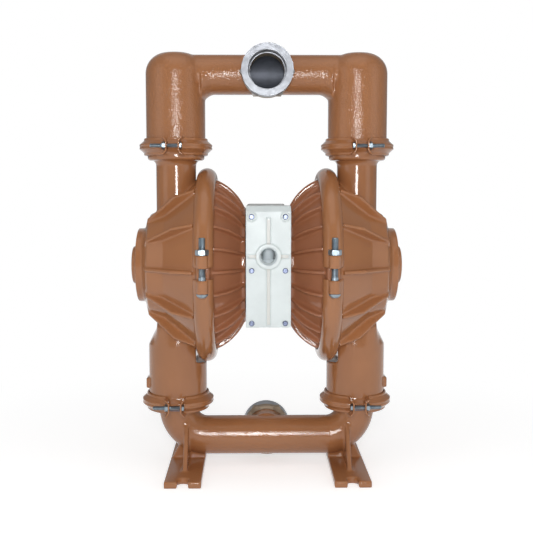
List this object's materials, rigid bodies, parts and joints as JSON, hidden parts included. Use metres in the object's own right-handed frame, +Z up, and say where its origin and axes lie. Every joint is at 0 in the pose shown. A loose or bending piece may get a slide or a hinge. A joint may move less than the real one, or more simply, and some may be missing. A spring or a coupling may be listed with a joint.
{
  "type": "air operated diaphragm pump",
  "caption": "Clamped metal double diaphragm pump driven by compressed air, with side liquid chambers, ball valves, top and bottom manifolds, slotted feet and threaded ports.",
  "frame": {"origin": "on the floor, midway between the feet and below the ports", "axes": "+Z up, +Y towards the back where the inlet port faces, -Y towards the discharge port and the air valve, X along the shaft"},
  "size_m": [0.406, 0.3224, 0.6364],
  "materials": {
    "casting_paint": "glossy orange-peel epoxy paint, copper brown",
    "air_chamber_paint": "glossy epoxy paint, darker red-brown",
    "machined_aluminium": "turned, bare",
    "block_plastic": "smooth, off-white",
    "zinc_steel": "zinc plated",
    "bright_steel": "ground and polished",
    "piston_casting": "as cast",
    "rubber": "matt black"
  },
  "bodies": {
    "housing": {"air_chamber_left": "air_chamber_paint", "air_chamber_right": "air_chamber_paint", "air_chamber_screws": "zinc_steel", "air_valve_body": "block_plastic", "air_valve_corner_screws": "zinc_steel", "air_valve_end_cap_lower": "block_plastic", "air_valve_end_cap_upper": "block_plastic", "air_valve_gasket": "rubber", "air_valve_middle_screws": "zinc_steel", "centre_block": "block_plastic", "centre_block_gasket_left": "rubber", "centre_block_gasket_right": "rubber", "diaphragm_left": "rubber", "diaphragm_right": "rubber", "discharge_manifold": "casting_paint", "discharge_port_adapter": "machined_aluminium", "discharge_valve_seat_left": "rubber", "discharge_valve_seat_right": "rubber", "inlet_manifold": "casting_paint", "inlet_port_adapter": "machined_aluminium", "inlet_valve_seat_left": "rubber", "inlet_valve_seat_right": "rubber", "large_clamp_bolts": "zinc_steel", "large_clamp_lower_left": "casting_paint", "large_clamp_lower_right": "casting_paint", "large_clamp_nuts": "zinc_steel", "large_clamp_upper_left": "casting_paint", "large_clamp_upper_right": "casting_paint", "liquid_chamber_left": "casting_paint", "liquid_chamber_right": "casting_paint", "muffler_plate": "block_plastic", "muffler_plate_gasket": "rubber", "muffler_plate_screws": "zinc_steel", "pilot_retaining_rings": "bright_steel", "pilot_sleeve": "bright_steel", "seat_rings": "rubber", "shaft_bushings": "bright_steel", "small_clamp_bolts": "zinc_steel", "small_clamp_lower_inner_left": "casting_paint", "small_clamp_lower_inner_right": "casting_paint", "small_clamp_lower_outer_left": "casting_paint", "small_clamp_lower_outer_right": "casting_paint", "small_clamp_nuts": "zinc_steel", "small_clamp_upper_inner_left": "casting_paint", "small_clamp_upper_inner_right": "casting_paint", "small_clamp_upper_outer_left": "casting_paint", "small_clamp_upper_outer_right": "casting_paint"},
    "shaft_assembly": {"shaft": "bright_steel", "inner_piston_left": "piston_casting", "inner_piston_right": "piston_casting", "outer_piston_left": "piston_casting", "outer_piston_right": "piston_casting"},
    "air_spool": {"air_valve_spool": "bright_steel"},
    "pilot": {"pilot_spool": "bright_steel"},
    "discharge_ball_left": {"discharge_valve_ball_left": "rubber"},
    "discharge_ball_right": {"discharge_valve_ball_right": "rubber"},
    "inlet_ball_left": {"inlet_valve_ball_left": "rubber"},
    "inlet_ball_right": {"inlet_valve_ball_right": "rubber"}
  },
  "joints": [
    {"name": "shaft_slide", "type": "slide", "parent": "housing", "child": "shaft_assembly", "axis": [1, 0, 0], "range_m": [-0.022, 0.022], "deforming": ["diaphragm_left", "diaphragm_right"]},
    {"name": "air_spool_slide", "type": "slide", "parent": "housing", "child": "air_spool", "axis": [0, 0, 1], "range_m": [0, 0.016]},
    {"name": "pilot_slide", "type": "slide", "parent": "housing", "child": "pilot", "axis": [1, 0, 0], "range_m": [-0.005, 0.005]},
    {"name": "discharge_ball_left_lift", "type": "slide", "parent": "housing", "child": "discharge_ball_left", "axis": [0, 0, 1], "range_m": [0, 0.012]},
    {"name": "discharge_ball_right_lift", "type": "slide", "parent": "housing", "child": "discharge_ball_right", "axis": [0, 0, 1], "range_m": [0, 0.012]},
    {"name": "inlet_ball_left_lift", "type": "slide", "parent": "housing", "child": "inlet_ball_left", "axis": [0, 0, 1], "range_m": [0, 0.012]},
    {"name": "inlet_ball_right_lift", "type": "slide", "parent": "housing", "child": "inlet_ball_right", "axis": [0, 0, 1], "range_m": [0, 0.012]}
  ]
}
